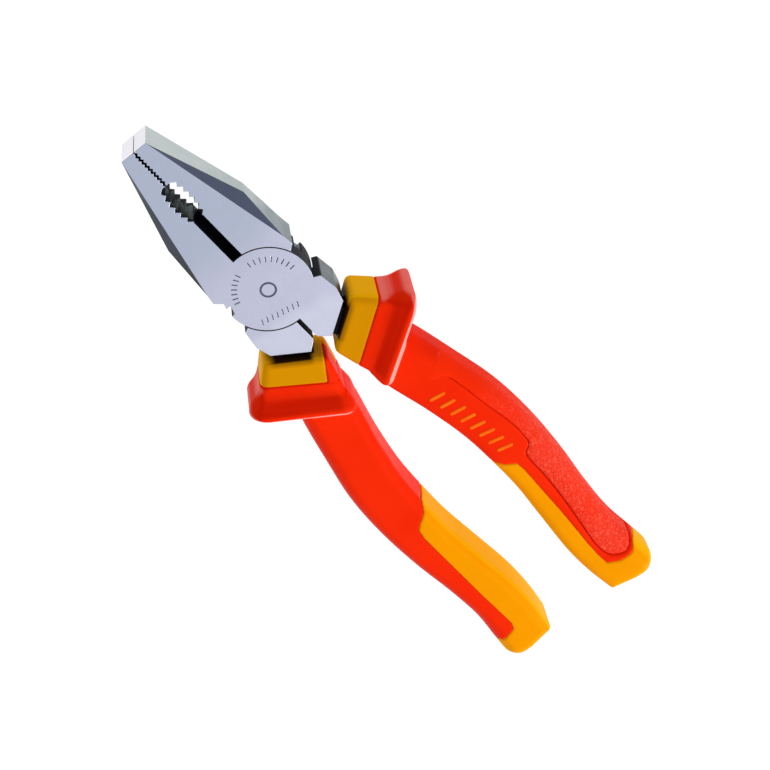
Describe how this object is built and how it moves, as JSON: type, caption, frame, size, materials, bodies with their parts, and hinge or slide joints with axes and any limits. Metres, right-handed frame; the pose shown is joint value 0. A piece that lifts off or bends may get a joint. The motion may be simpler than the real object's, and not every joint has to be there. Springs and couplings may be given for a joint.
{
  "type": "lineman pliers",
  "caption": "Hand pliers with flat toothed jaws, an oval pipe grip, side cutters, a riveted lap joint and two curved insulated grips with finger guards.",
  "frame": {"origin": "pivot axis, on the lower face of the head's joint", "axes": "+Y to the jaw tips, +X towards the right lever's grip, +Z along the pivot axis to the marked upper face"},
  "size_m": [0.0568, 0.2009, 0.021],
  "materials": {
    "tool_steel": "satin ground, lightly oiled, dark in the recesses",
    "rivet_steel": "ground flush with the head",
    "yellow_sleeve": "satin moulded plastic",
    "red_grip": "satin moulded plastic",
    "red_pad": "soft, leather-like stipple",
    "orange_bars": "satin moulded plastic"
  },
  "bodies": {
    "right_lever_body": {"upper_lever": "tool_steel", "pivot_rivet": "rivet_steel", "right_sleeve": "yellow_sleeve", "right_grip": "red_grip", "right_pad": "red_pad", "right_bars": "orange_bars"},
    "left_lever_body": {"lower_lever": "tool_steel", "left_sleeve": "yellow_sleeve", "left_grip": "red_grip", "left_pad": "red_pad", "left_bars": "orange_bars"}
  },
  "joints": [
    {"name": "jaw_pivot", "type": "hinge", "parent": "right_lever_body", "child": "left_lever_body", "pos_m": [0, 0, 0.0055], "axis": [0, 0, -1], "range_deg": [0, 44]}
  ]
}
